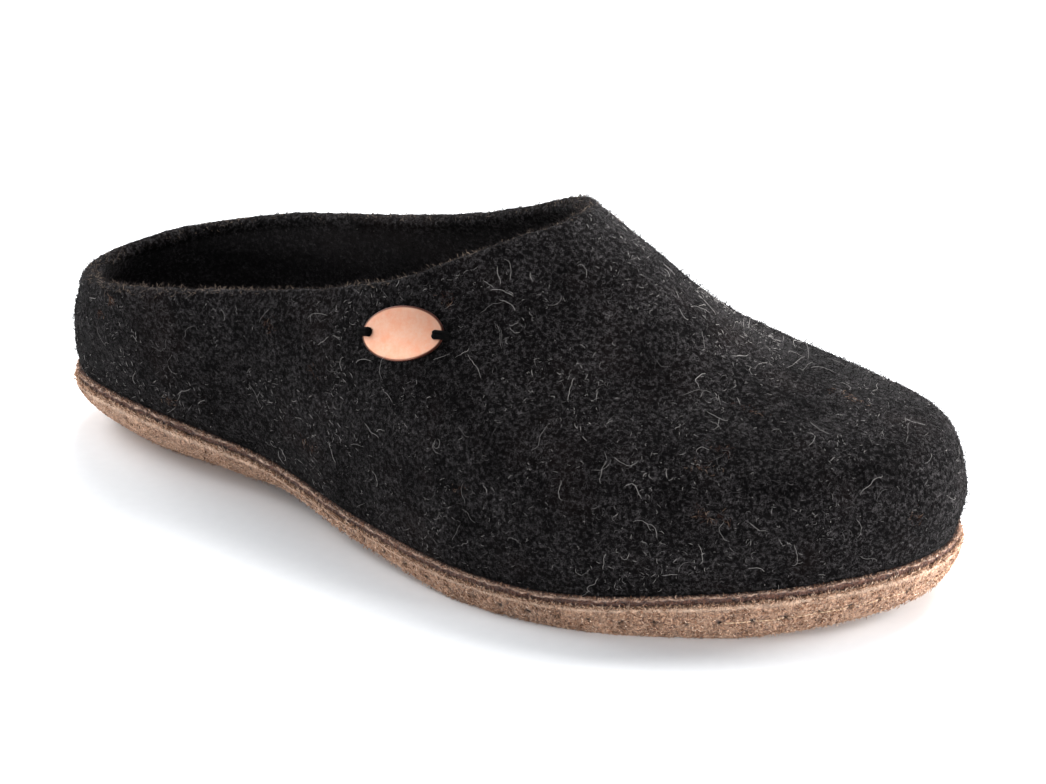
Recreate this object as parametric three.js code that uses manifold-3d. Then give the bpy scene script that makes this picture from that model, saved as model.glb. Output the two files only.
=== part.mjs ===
// A closed-toe felt house slipper for the right foot, with a low back. The felt is one thick hollow wall,
// open at the collar and underneath, where a thin rand and a suede sole close it. A footbed lies inside,
// and an oval copper badge is sewn on outside.
// Millimetres, +X to the toe, +Y to the inner side of the foot, +Z up, the floor at z = 0.
import Module from 'manifold-3d';
import * as THREE from 'three';
import { mergeVertices } from 'three/addons/utils/BufferGeometryUtils.js';

// The top edge of the sole, which the felt stands on
const LENGTH = 272;
const BALL_WIDTH = 107;
const HEEL_WIDTH = 69;
const HEEL_RADIUS = 33;
const TOE_RADIUS = 30;
const TOE_SWING = 10.5; // the toe's tip, towards the inner side
const HEEL_HEIGHT = 16; // over the floor
const BALL_HEIGHT = 9.2;
const TOE_HEIGHT = 17.4;

// The underside of the sole, and how far its edge draws in below the top edge
const ARCH_LIFT = 4.7;
const TOE_SPRING = 4.6;
const HEEL_TAPER = 13;
const BALL_TAPER = 2.2;
const TOE_TAPER = 5.6;

// The rand, a strip between sole and felt: a lip over a band that is set back
const RAND_THICKNESS = 2.2;
const RAND_LIP = 0.7;
const BAND_STEP = 0.7;

// The felt wall and its collar
const FELT = 4.8;
const LEDGE = 1.5; // the rand's lip outside the felt
const BULGE = 2.2; // the wall swells outwards by this
const RIM_RISE = 1.8; // the rounded top edge of the felt
const COLLAR_BACK = 3.8; // in front of the heel's end
const COLLAR_FRONT = 106; // behind the toe's tip
const COLLAR_WIDTH = 69;
const COLLAR_BACK_RADIUS = 26;
const THROAT_RADIUS = 16;
const BACK_HEIGHT = 46; // the collar over the floor
const INSTEP_HEIGHT = 94;

// The footbed
const FOOTBED_THICKNESS = 6;
const FOOTBED_ROUND = 1.4;
const HEEL_CUP = 4.5;
const ARCH_PAD = 4;

// The badge, its two sewing holes and its place on the outer side
const BADGE_LENGTH = 26;
const BADGE_WIDTH = 15;
const BADGE_THICKNESS = 0.8;
const BADGE_HOLE = 2;
const BADGE_MARGIN = 2.4; // from the plate's end to the middle of a hole
const BADGE_AT = 0.67; // share of the outline's length that the wall rises from there
const BADGE_UP = 0.84; // share of the wall's height

const GAP = 0.3; // between pieces that touch
const AROUND = 96; // steps around the shoe

// Half width = heel * HEEL_WIDTH + ball * BALL_WIDTH, and the middle lies at swing * TOE_SWING.
const OUTLINE = [
  { at: 0.05, heel: 0.342, ball: 0, swing: 0.1 },
  { at: 0.14, heel: 0.46, ball: 0, swing: 0.22 },
  { at: 0.28, heel: 0.497, ball: 0, swing: 0.22 },
  { at: 0.45, heel: 0.2, ball: 0.265, swing: -0.38 },
  { at: 0.6, heel: 0, ball: 0.478, swing: -0.46 },
  { at: 0.72, heel: 0, ball: 0.5, swing: -0.13 },
  { at: 0.82, heel: 0, ball: 0.445, swing: 0.31 },
  { at: 0.92, heel: 0, ball: 0.32, swing: 0.67 },
];

// The top edge's height is mixed from the heel's, the ball's and the toe's, the underside is lifted by
// arch * ARCH_LIFT + spring * TOE_SPRING, and the last three columns are shares of the three tapers.
const SOLE = [
  { at: 0, heel: 1, ball: 0, toe: 0, arch: 0, spring: 0, heelIn: 1, ballIn: 0, toeIn: 0 },
  { at: 0.12, heel: 1, ball: 0, toe: 0, arch: 0, spring: 0, heelIn: 0.82, ballIn: 0, toeIn: 0 },
  { at: 0.24, heel: 0.72, ball: 0.28, toe: 0, arch: 0, spring: 0, heelIn: 0.8, ballIn: 0, toeIn: 0 },
  { at: 0.35, heel: 0.36, ball: 0.64, toe: 0, arch: 1, spring: 0, heelIn: 0.2, ballIn: 0.1, toeIn: 0 },
  { at: 0.48, heel: 0.12, ball: 0.88, toe: 0, arch: 0.78, spring: 0, heelIn: 0, ballIn: 0.35, toeIn: 0 },
  { at: 0.62, heel: 0, ball: 1, toe: 0, arch: 0, spring: 0, heelIn: 0, ballIn: 0.8, toeIn: 0 },
  { at: 0.74, heel: 0, ball: 0.87, toe: 0.13, arch: 0, spring: 0, heelIn: 0, ballIn: 1, toeIn: 0 },
  { at: 0.85, heel: 0, ball: 0.52, toe: 0.48, arch: 0, spring: 0, heelIn: 0, ballIn: 0.6, toeIn: 0.35 },
  { at: 1, heel: 0, ball: 0, toe: 1, arch: 0, spring: 1, heelIn: 0, ballIn: 0, toeIn: 1 },
];

// The side of the sole from the tread up: height over the underside, and share of the taper.
const SOLE_EDGE = [
  { up: 0, inset: 1 },
  { up: 0.1, inset: 0.85 },
  { up: 0.3, inset: 0.5 },
  { up: 0.55, inset: 0.22 },
  { up: 0.8, inset: 0.03 },
  { up: 1, inset: 0 },
];

// The collar from the heel to the throat: half width in shares of COLLAR_WIDTH, height as the share of the
// way from BACK_HEIGHT to INSTEP_HEIGHT, and the middle at swing * TOE_SWING.
const COLLAR = [
  { at: 0, half: 0, rise: 0, swing: 0 },
  { at: 0.2, half: 0.5, rise: 0.175, swing: -0.1 },
  { at: 0.4, half: 0.493, rise: 0.35, swing: -0.12 },
  { at: 0.6, half: 0.467, rise: 0.51, swing: -0.06 },
  { at: 0.8, half: 0.45, rise: 0.705, swing: 0.02 },
  { at: 1, half: 0, rise: 1, swing: 0.12 },
];
const COLLAR_EASE = 0.2; // the collar's rows lie closer together towards the throat

// The felt wall from the sole's edge (at 0) to the collar (at 1). Reach is the share of the way covered
// sideways and rise the share covered upwards, at the toe and at the sides. At the heel the two are one.
const WALL = [
  { at: 0, toeReach: 0, toeRise: 0, sideReach: 0, sideRise: 0, heel: 0, bulge: 0 },
  { at: 0.17, toeReach: -0.012, toeRise: 0.18, sideReach: 0, sideRise: 0.17, heel: 0.2, bulge: 0.7 },
  { at: 0.33, toeReach: 0.045, toeRise: 0.38, sideReach: 0.03, sideRise: 0.39, heel: 0.4, bulge: 0.95 },
  { at: 0.5, toeReach: 0.24, toeRise: 0.465, sideReach: 0.17, sideRise: 0.54, heel: 0.6, bulge: 1 },
  { at: 0.67, toeReach: 0.56, toeRise: 0.57, sideReach: 0.4, sideRise: 0.73, heel: 0.79, bulge: 0.55 },
  { at: 0.83, toeReach: 0.84, toeRise: 0.815, sideReach: 0.71, sideRise: 0.88, heel: 0.92, bulge: 0.4 },
  { at: 1, toeReach: 1, toeRise: 1, sideReach: 1, sideRise: 1, heel: 1, bulge: 0 },
];
const TOE_STARTS = 0.62; // shares of the length where the toe's profile starts and the heel's ends
const HEEL_HOLDS = 0.12;
const HEEL_ENDS = 0.57;

// The footbed's edge stands up by cup * HEEL_CUP, and on the inner side by arch * ARCH_PAD more.
const FOOTBED = [
  { at: 0, cup: 1, arch: 0 },
  { at: 0.2, cup: 0.9, arch: 0 },
  { at: 0.42, cup: 0.5, arch: 1 },
  { at: 0.62, cup: 0.1, arch: 0.3 },
  { at: 0.8, cup: 0.1, arch: 0 },
  { at: 1, cup: 0.3, arch: 0 },
];

// Slope of the straight line between row i and the next
function chord(rows, key, i) {
  return (rows[i + 1][key] - rows[i][key]) / (rows[i + 1].at - rows[i].at);
}

// Slope of the curve at row i: the mean of its two chords, and level beside a level stretch
function slope(rows, key, i) {
  if (i === 0) return chord(rows, key, 0);
  if (i === rows.length - 1) return chord(rows, key, i - 1);
  const before = chord(rows, key, i - 1);
  const after = chord(rows, key, i);
  if (before === 0 || after === 0) return 0;
  const back = rows[i].at - rows[i - 1].at;
  const ahead = rows[i + 1].at - rows[i].at;
  return (before * ahead + after * back) / (back + ahead);
}

// A column of a table as one smooth curve through its rows
function smooth(rows, key, at) {
  const last = rows.length - 2;
  const next = rows.findIndex((row) => row.at > at);
  const i = next < 0 ? last : Math.min(Math.max(next - 1, 0), last);
  const step = rows[i + 1].at - rows[i].at;
  const t = (at - rows[i].at) / step;
  const [t2, t3] = [t * t, t * t * t];
  return (
    (2 * t3 - 3 * t2 + 1) * rows[i][key] +
    (t3 - 2 * t2 + t) * step * slope(rows, key, i) +
    (3 * t2 - 2 * t3) * rows[i + 1][key] +
    (t3 - t2) * step * slope(rows, key, i + 1)
  );
}

// Goes from 0 to 1 between two shares, level at both
function ease(from, to, at) {
  return THREE.MathUtils.smoothstep(at, from, to);
}

// A plan is a circle stretched to a length, with its half width scaled at each share of that length. The
// scale comes from the rows' half widths, and at the two ends from their radii.
function fullness(rows, half, backLength, backRadius, frontLength, frontRadius) {
  const inner = rows.filter((row) => row.at > 0 && row.at < 1);
  return [
    { at: 0, full: Math.sqrt((backRadius * backLength) / 2) },
    ...inner.map((row) => ({ at: row.at, full: half(row) / (2 * Math.sqrt(row.at * (1 - row.at))) })),
    { at: 1, full: Math.sqrt((frontRadius * frontLength) / 2) },
  ];
}

const OUTLINE_FULL = fullness(
  OUTLINE,
  (row) => row.heel * HEEL_WIDTH + row.ball * BALL_WIDTH,
  LENGTH,
  HEEL_RADIUS,
  LENGTH,
  TOE_RADIUS,
);
const OUTLINE_MIDDLE = [{ at: 0, swing: 0 }, ...OUTLINE, { at: 1, swing: 1 }];

const COLLAR_LENGTH = LENGTH - COLLAR_FRONT - COLLAR_BACK;
const COLLAR_FULL = fullness(
  COLLAR,
  (row) => row.half * COLLAR_WIDTH,
  COLLAR_LENGTH * (1 + COLLAR_EASE),
  COLLAR_BACK_RADIUS,
  COLLAR_LENGTH * (1 - COLLAR_EASE),
  THROAT_RADIUS,
);

// Share of the length at an angle: the toe is at 0, the inner side follows, and the heel is at PI
function share(angle) {
  return (1 + Math.cos(angle)) / 2;
}

// The sole's top edge in plan
function outline(angle) {
  const at = share(angle);
  const middle = smooth(OUTLINE_MIDDLE, 'swing', at) * TOE_SWING;
  return new THREE.Vector3(at * LENGTH, middle + smooth(OUTLINE_FULL, 'full', at) * Math.sin(angle), 0);
}

// The direction out of the outline in plan
function outwards(angle) {
  const step = 1e-3;
  const run = outline(angle + step).sub(outline(angle - step));
  return new THREE.Vector3(run.y, -run.x, 0).normalize();
}

// The outline drawn in by an inset, at no height
function drawnIn(angle, inset) {
  return outline(angle).addScaledVector(outwards(angle), -inset);
}

function soleShare(x) {
  return THREE.MathUtils.clamp(x / LENGTH, 0, 1);
}

// Height of the sole's top edge over the floor
function topHeight(x) {
  const at = soleShare(x);
  return (
    smooth(SOLE, 'heel', at) * HEEL_HEIGHT +
    smooth(SOLE, 'ball', at) * BALL_HEIGHT +
    smooth(SOLE, 'toe', at) * TOE_HEIGHT
  );
}

// Height of the underside
function underHeight(x) {
  const at = soleShare(x);
  return smooth(SOLE, 'arch', at) * ARCH_LIFT + smooth(SOLE, 'spring', at) * TOE_SPRING;
}

function taper(at) {
  return (
    smooth(SOLE, 'heelIn', at) * HEEL_TAPER +
    smooth(SOLE, 'ballIn', at) * BALL_TAPER +
    smooth(SOLE, 'toeIn', at) * TOE_TAPER
  );
}

// A point on the level of the sole's top edge, drawn in and raised
function onEdge(angle, inset, lift) {
  const point = drawnIn(angle, inset);
  point.z = topHeight(point.x) + lift;
  return point;
}

// The line where the felt wall turns over into its rim
function collar(angle) {
  const at = share(angle);
  const x = COLLAR_BACK + COLLAR_LENGTH * at * (1 + COLLAR_EASE - COLLAR_EASE * at);
  const y = smooth(COLLAR, 'swing', at) * TOE_SWING + smooth(COLLAR_FULL, 'full', at) * Math.sin(angle);
  const rise = smooth(COLLAR, 'rise', at) * (INSTEP_HEIGHT - BACK_HEIGHT);
  return new THREE.Vector3(x, y, BACK_HEIGHT - RIM_RISE + rise);
}

// The outer face of the felt, up from the rand (0) to the rim (1)
function wall(angle, up) {
  const at = share(angle);
  const toe = ease(TOE_STARTS, 1, at);
  const heel = 1 - ease(HEEL_HOLDS, HEEL_ENDS, at);
  const side = 1 - toe - heel;
  const column = (key) => smooth(WALL, key, up);
  const reach = toe * column('toeReach') + side * column('sideReach') + heel * column('heel');
  const rise = toe * column('toeRise') + side * column('sideRise') + heel * column('heel');
  const foot = onEdge(angle, LEDGE, GAP);
  const way = collar(angle).sub(foot).multiply(new THREE.Vector3(reach, reach, rise));
  return foot.add(way).addScaledVector(outwards(angle), column('bulge') * BULGE);
}

// The wall's own directions at a point: around, up and out
function wallFrame(angle, up) {
  const step = 1e-3;
  const [low, high] = [Math.max(up - step, 0), Math.min(up + step, 1)];
  const around = wall(angle + step, up).sub(wall(angle - step, up)).divideScalar(2 * step);
  const rise = wall(angle, high).sub(wall(angle, low)).divideScalar(high - low);
  return { around, rise, out: around.clone().cross(rise).normalize() };
}

// The inner face of the felt
function lining(angle, up) {
  if (up === 0) return onEdge(angle, LEDGE + FELT, GAP);
  return wall(angle, up).addScaledVector(wallFrame(angle, up).out, -FELT);
}

// The rim's half round, from the wall (turn 0) to the lining (turn PI)
function rim(angle, turn) {
  const { rise, out } = wallFrame(angle, 1);
  return wall(angle, 1)
    .addScaledVector(out, (-FELT / 2) * (1 - Math.cos(turn)))
    .addScaledVector(rise.normalize(), RIM_RISE * Math.sin(turn));
}

// One closed loop of points around the shoe
function loop(point) {
  return Array.from({ length: AROUND }, (_, i) => point((i * 2 * Math.PI) / AROUND));
}

// The two sides' mean at each step, drawn towards the middle of the shoe, as a loop that lies double
const SPINE_REACH = 0.85;
function spine(edge) {
  const centre = LENGTH / 2;
  return edge.map((point, i) => {
    const mean = point.clone().add(edge[(edge.length - i) % edge.length]).divideScalar(2);
    mean.x = centre + (mean.x - centre) * SPINE_REACH;
    return mean;
  });
}

// Loops between an edge and its spine, at the given shares of the way out, with a height for each point
function spread(edge, shares, height) {
  const middle = spine(edge);
  return shares.map((part) =>
    edge.map((point, i) => {
      const moved = middle[i].clone().lerp(point, part);
      moved.z = height(moved.x, part, (i * 2 * Math.PI) / edge.length);
      return moved;
    }),
  );
}

// A closed skin over loops of equal length. Where it isn't a ring, its first and last loops lie double.
function skin(loops, ring) {
  const size = loops[0].length;
  const geometry = new THREE.BufferGeometry();
  geometry.setAttribute('position', new THREE.Float32BufferAttribute(loops.flat().flatMap((p) => p.toArray()), 3));
  const faces = [];
  const strips = ring ? loops.length : loops.length - 1;
  for (let j = 0; j < strips; j += 1) {
    const next = (j + 1) % loops.length;
    for (let i = 0; i < size; i += 1) {
      const right = (i + 1) % size;
      const [a, b] = [j * size + i, j * size + right];
      const [c, d] = [next * size + right, next * size + i];
      faces.push(a, b, c, a, c, d);
    }
  }
  geometry.setIndex(faces);
  const merged = mergeVertices(geometry, 1e-4);
  const index = Array.from(merged.index.array);
  const kept = [];
  for (let k = 0; k < index.length; k += 3) {
    const [a, b, c] = index.slice(k, k + 3);
    if (a !== b && b !== c && c !== a) kept.push(a, b, c);
  }
  merged.setIndex(kept);
  return merged;
}

function upperSkin() {
  const outer = [0, 0.06, 0.12, 0.2, 0.28, 0.36, 0.44, 0.52, 0.6, 0.68, 0.77, 0.86, 0.93, 1];
  const inner = [1, 0.9, 0.78, 0.66, 0.55, 0.45, 0.35, 0.25, 0.12, 0];
  const turns = [0.25, 0.5, 0.75];
  return skin(
    [
      ...outer.map((up) => loop((angle) => wall(angle, up))),
      ...turns.map((turn) => loop((angle) => rim(angle, turn * Math.PI))),
      ...inner.map((up) => loop((angle) => lining(angle, up))),
    ],
    true,
  );
}

function randSkin() {
  const inside = LEDGE + FELT;
  const profile = [
    { inset: BAND_STEP, lift: -RAND_THICKNESS },
    { inset: BAND_STEP, lift: -RAND_LIP },
    { inset: 0, lift: -RAND_LIP },
    { inset: 0, lift: 0 },
    { inset: inside, lift: 0 },
    { inset: inside, lift: -RAND_THICKNESS },
  ];
  return skin(
    profile.map(({ inset, lift }) => loop((angle) => onEdge(angle, inset, lift))),
    true,
  );
}

function outsoleSkin() {
  const top = (x) => topHeight(x) - RAND_THICKNESS - GAP;
  const sides = SOLE_EDGE.map(({ up, inset }) =>
    loop((angle) => {
      const point = drawnIn(angle, inset * taper(share(angle)));
      point.z = THREE.MathUtils.lerp(underHeight(point.x), top(point.x), up);
      return point;
    }),
  );
  const tread = spread(sides[0], [0, 0.5], underHeight);
  const bed = spread(sides[sides.length - 1], [0.7, 0.35, 0], top);
  return skin([...tread, ...sides, ...bed], false);
}

function footbedSkin() {
  const inset = LEDGE + FELT + GAP;
  const pad = FOOTBED_THICKNESS - RAND_THICKNESS;
  const edgeHeight = (x, part, angle) => {
    const at = soleShare(x);
    const arch = Math.max(Math.sin(angle), 0) * smooth(FOOTBED, 'arch', at) * ARCH_PAD;
    return topHeight(x) + pad + (smooth(FOOTBED, 'cup', at) * HEEL_CUP + arch) * part * part;
  };
  const under = (x) => topHeight(x) - RAND_THICKNESS;
  const low = loop((angle) => onEdge(angle, inset, -RAND_THICKNESS));
  const high = loop((angle) => {
    const point = drawnIn(angle, inset + GAP);
    point.z = edgeHeight(point.x, 1, angle) - FOOTBED_ROUND;
    return point;
  });
  const shoulder = loop((angle) => drawnIn(angle, inset + FOOTBED_ROUND));
  const base = spread(low, [0, 0.35, 0.7], under);
  const top = spread(shoulder, [1, 0.8, 0.55, 0.28, 0], edgeHeight);
  return skin([...base, low, high, ...top], false);
}

// A point of the badge: along and across its oval, measured on the plane that touches the felt at the
// badge's middle, then laid on the felt and raised off it. Each round closes in on the place below.
function onBadge(along, across, lift) {
  let angle = 2 * Math.PI - Math.acos(2 * BADGE_AT - 1);
  let up = BADGE_UP;
  const centre = wallFrame(angle, up);
  const level = centre.around.clone().normalize();
  const upright = centre.out.clone().cross(level);
  const goal = wall(angle, up).addScaledVector(level, along).addScaledVector(upright, across);
  for (let round = 0; round < 4; round += 1) {
    const { around, rise } = wallFrame(angle, up);
    const miss = goal.clone().sub(wall(angle, up));
    const [aa, ar, rr] = [around.dot(around), around.dot(rise), rise.dot(rise)];
    const [ma, mr] = [miss.dot(around), miss.dot(rise)];
    angle += (ma * rr - mr * ar) / (aa * rr - ar * ar);
    up += (mr * aa - ma * ar) / (aa * rr - ar * ar);
  }
  return wall(angle, up).addScaledVector(wallFrame(angle, up).out, lift);
}

function badgeSkin() {
  const edge = BADGE_THICKNESS / 3;
  const rows = [
    { part: 0, draw: 0, lift: GAP },
    { part: 0.5, draw: 0, lift: GAP },
    { part: 1, draw: edge, lift: GAP },
    { part: 1, draw: 0, lift: GAP + edge },
    { part: 1, draw: 0, lift: GAP + BADGE_THICKNESS - edge },
    { part: 1, draw: edge, lift: GAP + BADGE_THICKNESS },
    { part: 0.5, draw: 0, lift: GAP + BADGE_THICKNESS },
    { part: 0, draw: 0, lift: GAP + BADGE_THICKNESS },
  ];
  const steps = 32;
  const loops = rows.map(({ part, draw, lift }) =>
    Array.from({ length: steps }, (_, i) => {
      const turn = (i * 2 * Math.PI) / steps;
      const along = (BADGE_LENGTH / 2 - draw) * part * Math.cos(turn);
      const across = (BADGE_WIDTH / 2 - draw) * part * Math.sin(turn);
      return onBadge(along, across, lift);
    }),
  );
  return skin(loops, false);
}

// A round punch through the badge at one end, -1 or 1
function badgePunch(end) {
  const along = end * (BADGE_LENGTH / 2 - BADGE_MARGIN);
  const foot = onBadge(along, 0, 0);
  const out = onBadge(along, 0, 1).sub(foot);
  const geometry = new THREE.CylinderGeometry(BADGE_HOLE / 2, BADGE_HOLE / 2, 4 * BADGE_THICKNESS, 16);
  geometry.applyQuaternion(new THREE.Quaternion().setFromUnitVectors(new THREE.Vector3(0, 1, 0), out));
  const middle = foot.addScaledVector(out, GAP + BADGE_THICKNESS / 2);
  return geometry.translate(middle.x, middle.y, middle.z);
}

const wasm = await Module();
wasm.setup();

function toSolid(geometry) {
  const plain = new THREE.BufferGeometry();
  plain.setAttribute('position', geometry.getAttribute('position'));
  plain.setIndex(geometry.index);
  const merged = mergeVertices(plain, 1e-4);
  const vertProperties = new Float32Array(merged.getAttribute('position').array);
  const triVerts = new Uint32Array(merged.index.array);
  return new wasm.Manifold(new wasm.Mesh({ numProp: 3, vertProperties, triVerts }));
}

function toGeometry(solid) {
  const { numProp, vertProperties, triVerts } = solid.getMesh();
  const positions = [];
  for (let k = 0; k < vertProperties.length; k += numProp) {
    positions.push(...vertProperties.slice(k, k + 3));
  }
  const geometry = new THREE.BufferGeometry();
  geometry.setAttribute('position', new THREE.Float32BufferAttribute(positions, 3));
  geometry.setIndex(Array.from(triVerts));
  return geometry;
}

function punchedBadge() {
  const punched = [-1, 1].reduce(
    (plate, end) => plate.subtract(toSolid(badgePunch(end))),
    toSolid(badgeSkin()),
  );
  return toGeometry(punched);
}

function piece(name, geometry, color, roughness, metalness = 0) {
  geometry.computeVertexNormals();
  const mesh = new THREE.Mesh(geometry, new THREE.MeshStandardMaterial({ color, roughness, metalness }));
  mesh.name = name;
  return mesh;
}

const slipper = new THREE.Group();
slipper.add(
  piece('upper', upperSkin(), 0x2b2a2d, 0.95),
  piece('outsole', outsoleSkin(), 0xb08c6e, 0.95),
  piece('rand', randSkin(), 0x8a6652, 0.85),
  piece('insole', footbedSkin(), 0x3b3735, 0.95),
  piece('badge', punchedBadge(), 0xd9946f, 0.4, 0.9),
);

// The origin is under the middle of the shoe, on the floor.
const middle = new THREE.Box3().setFromObject(slipper).getCenter(new THREE.Vector3());
slipper.position.set(-middle.x, -middle.y, 0);

export default slipper;
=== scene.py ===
"""A felt house slipper for the right foot, with a suede sole, a footbed and a sewn-on copper badge."""

import bpy
import numpy as np
from mathutils import Matrix, Vector


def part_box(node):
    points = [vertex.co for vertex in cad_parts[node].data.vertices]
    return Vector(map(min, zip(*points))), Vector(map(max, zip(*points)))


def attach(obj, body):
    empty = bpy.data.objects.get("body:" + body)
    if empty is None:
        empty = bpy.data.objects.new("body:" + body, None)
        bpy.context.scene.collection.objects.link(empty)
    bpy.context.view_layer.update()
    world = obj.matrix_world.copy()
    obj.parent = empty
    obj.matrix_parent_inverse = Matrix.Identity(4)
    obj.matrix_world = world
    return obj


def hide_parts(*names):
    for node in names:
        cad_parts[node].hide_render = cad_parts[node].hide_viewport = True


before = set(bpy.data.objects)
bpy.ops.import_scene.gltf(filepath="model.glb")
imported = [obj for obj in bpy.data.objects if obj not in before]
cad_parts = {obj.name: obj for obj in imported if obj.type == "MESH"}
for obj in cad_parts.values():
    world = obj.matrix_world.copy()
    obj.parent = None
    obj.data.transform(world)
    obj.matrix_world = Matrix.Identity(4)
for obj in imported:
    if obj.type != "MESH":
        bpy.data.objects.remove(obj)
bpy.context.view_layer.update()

# Sizes in millimetres, measured from the heel's end, as the solids have them

MM = 0.001
LENGTH = 272
BALL_WIDTH = 107
HEEL_WIDTH = 69
HEEL_RADIUS = 33
TOE_RADIUS = 30
TOE_SWING = 10.5
HEEL_HEIGHT = 16
BALL_HEIGHT = 9.2
TOE_HEIGHT = 17.4
ARCH_LIFT = 4.7
TOE_SPRING = 4.6
HEEL_TAPER = 13
BALL_TAPER = 2.2
TOE_TAPER = 5.6
RAND_THICKNESS = 2.2
BAND_STEP = 0.7
FELT = 4.8
LEDGE = 1.5
BULGE = 2.2
RIM_RISE = 1.8
COLLAR_BACK = 3.8
COLLAR_FRONT = 106
COLLAR_WIDTH = 69
COLLAR_BACK_RADIUS = 26
THROAT_RADIUS = 16
BACK_HEIGHT = 46
INSTEP_HEIGHT = 94
FOOTBED_THICKNESS = 6
FOOTBED_ROUND = 1.4
HEEL_CUP = 4.5
ARCH_PAD = 4
BADGE_LENGTH = 26
BADGE_WIDTH = 15
BADGE_THICKNESS = 0.8
BADGE_HOLE = 2
BADGE_MARGIN = 2.4
BADGE_AT = 0.67
BADGE_UP = 0.84
GAP = 0.3
SPINE_REACH = 0.85
COLLAR_EASE = 0.2
TOE_STARTS = 0.62
HEEL_HOLDS = 0.12
HEEL_ENDS = 0.57

# What only the eye needs
THROAT_FROM = 0.8  # share of the length, and of the wall's height, where the throat's roll starts
LINING_FOOT = 0.12  # share of the height below which the lining runs straight to its foot
STITCH = 8.6  # spacing of the sole's stitches
STITCHES = 26  # on each side of the toe's tip
STITCH_HEIGHT = 0.5  # share of the side's height
GROOVE = 0.16  # depth of the groove that they lie in
PIT = 0.6  # radius of a stitch's pit
PIT_DEPTH = 0.8
THREAD = 0.36  # thickness of the sole's pale thread
THREAD_SHOWS = 0.84  # share of the length in front of which the thread shows
WELT = 0.28  # how far the sole's rubbed upper edge stands out
WELT_AT = 0.93  # share of the side's height
WAIST = 115  # behind it the nap lies short and close, and leaves the welt bare
DENT = 0.2  # the badge presses the felt in by this
CLEAR_OF_BADGE = 1.2  # hairs start outside the badge's outline times this
BADGE_THREAD = 1.5  # thickness of the black thread over the badge's ends
TOP_PAINTED_SHADE = 0.37  # how far painted shade darkens the plate's upper part towards dark brown
KINK = 0.32  # radians by which a fibre turns at random from step to step
ROOT = 0.1  # a fibre starts this deep
STANDING = (0.6, 1.3)  # radians off the felt for the fibres that stand out of it
LYING = (0.1, 0.35)  # and for those that lie on it
CLUMP = (0.011, 0.012)  # how far a clump spreads, in the surface's two parameters
OFF_FLOOR = 0.02  # no fibre reaches lower
FULL_TURN = 2 * np.pi
SLOPE_STEP = 1e-3  # step in a parameter over which a slope is taken

OUTLINE = {
    "at": [0.05, 0.14, 0.28, 0.45, 0.6, 0.72, 0.82, 0.92],
    "heel": [0.342, 0.46, 0.497, 0.2, 0, 0, 0, 0],
    "ball": [0, 0, 0, 0.265, 0.478, 0.5, 0.445, 0.32],
    "swing": [0.1, 0.22, 0.22, -0.38, -0.46, -0.13, 0.31, 0.67],
}
SOLE = {
    "at": [0, 0.12, 0.24, 0.35, 0.48, 0.62, 0.74, 0.85, 1],
    "heel": [1, 1, 0.72, 0.36, 0.12, 0, 0, 0, 0],
    "ball": [0, 0, 0.28, 0.64, 0.88, 1, 0.87, 0.52, 0],
    "toe": [0, 0, 0, 0, 0, 0, 0.13, 0.48, 1],
    "arch": [0, 0, 0, 1, 0.78, 0, 0, 0, 0],
    "spring": [0, 0, 0, 0, 0, 0, 0, 0, 1],
    "heelIn": [1, 0.82, 0.8, 0.2, 0, 0, 0, 0, 0],
    "ballIn": [0, 0, 0, 0.1, 0.35, 0.8, 1, 0.6, 0],
    "toeIn": [0, 0, 0, 0, 0, 0, 0, 0.35, 1],
}
SOLE_EDGE = {"at": [0, 0.1, 0.3, 0.55, 0.8, 1], "inset": [1, 0.85, 0.5, 0.22, 0.03, 0]}
COLLAR = {
    "at": [0, 0.2, 0.4, 0.6, 0.8, 1],
    "half": [0, 0.5, 0.493, 0.467, 0.45, 0],
    "rise": [0, 0.175, 0.35, 0.51, 0.705, 1],
    "swing": [0, -0.1, -0.12, -0.06, 0.02, 0.12],
}
WALL = {
    "at": [0, 0.17, 0.33, 0.5, 0.67, 0.83, 1],
    "toeReach": [0, -0.012, 0.045, 0.24, 0.56, 0.84, 1],
    "toeRise": [0, 0.18, 0.38, 0.465, 0.57, 0.815, 1],
    "sideReach": [0, 0, 0.03, 0.17, 0.4, 0.71, 1],
    "sideRise": [0, 0.17, 0.39, 0.54, 0.73, 0.88, 1],
    "heel": [0, 0.2, 0.4, 0.6, 0.79, 0.92, 1],
    "bulge": [0, 0.7, 0.95, 1, 0.55, 0.4, 0],
}
# At the throat the soft felt turns over more roundly than the solid's edge: it is raised by these, from
# foot to rim and round the rim.
THROAT_ROLL = {"at": [0, 0.5, 0.74, 0.9, 1], "lift": [0, 0, 0.5, 1.1, 0]}
THROAT_RIM = {"at": [0, 0.7, 0.85, 0.93, 1], "lift": [0, 0.2, 1.3, 0.3, -1.7]}
FOOTBED = {
    "at": [0, 0.2, 0.42, 0.62, 0.8, 1],
    "cup": [1, 0.9, 0.5, 0.1, 0.1, 0.3],
    "arch": [0, 0, 1, 0.3, 0, 0],
}

# Shapes as functions


def smooth(table, key, at):
    """A table's column as cubic pieces through its rows. A row's slope is the mean of its two chords, each
    weighted by the other's width, and level beside a level stretch."""
    x, y = np.array(table["at"], float), np.array(table[key], float)
    width = np.diff(x)
    chord = np.diff(y) / width
    inner = (chord[:-1] * width[1:] + chord[1:] * width[:-1]) / (width[:-1] + width[1:])
    inner[(chord[:-1] == 0) | (chord[1:] == 0)] = 0
    slope = np.concatenate([chord[:1], inner, chord[-1:]])
    i = np.clip(np.searchsorted(x, at, side="right") - 1, 0, len(x) - 2)
    t = (at - x[i]) / width[i]
    return (
        (2 * t**3 - 3 * t**2 + 1) * y[i]
        + (t**3 - 2 * t**2 + t) * width[i] * slope[i]
        + (3 * t**2 - 2 * t**3) * y[i + 1]
        + (t**3 - t**2) * width[i] * slope[i + 1]
    )


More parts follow.
